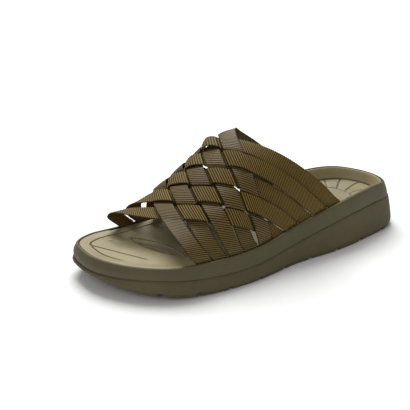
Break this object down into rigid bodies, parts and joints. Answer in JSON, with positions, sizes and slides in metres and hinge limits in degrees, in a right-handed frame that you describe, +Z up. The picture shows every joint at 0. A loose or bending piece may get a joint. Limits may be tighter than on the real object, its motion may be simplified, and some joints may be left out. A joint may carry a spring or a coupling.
{
  "type": "slide sandal",
  "caption": "Left-foot slide sandal with a contoured footbed on a flared ribbed sole and an open-toe, open-back upper of flat webbing straps woven diagonally over the instep.",
  "frame": {"origin": "middle of the sandal's footprint, on the ground", "axes": "+Z up, +Y along the sole towards the heel (the toe points along -Y), +X towards the lateral, outer side of the left foot"},
  "size_m": [0.1148, 0.295, 0.1037],
  "materials": {
    "outsole_rubber": "matt olive-grey moulded rubber",
    "midsole_foam": "matt olive-grey moulded foam",
    "fibre_board": "pressed fibre board",
    "footbed_foam": "satin khaki moulded foam",
    "webbing": "olive-brown ribbed nylon webbing"
  },
  "bodies": {
    "root": {"outsole": "outsole_rubber", "midsole": "midsole_foam", "insole_board": "fibre_board", "footbed": "footbed_foam", "lateral_strap_1": "webbing", "lateral_strap_2": "webbing", "lateral_strap_3": "webbing", "lateral_strap_4": "webbing", "lateral_strap_5": "webbing", "medial_strap_1": "webbing", "medial_strap_2": "webbing", "medial_strap_3": "webbing", "medial_strap_4": "webbing", "medial_strap_5": "webbing"}
  },
  "joints": []
}
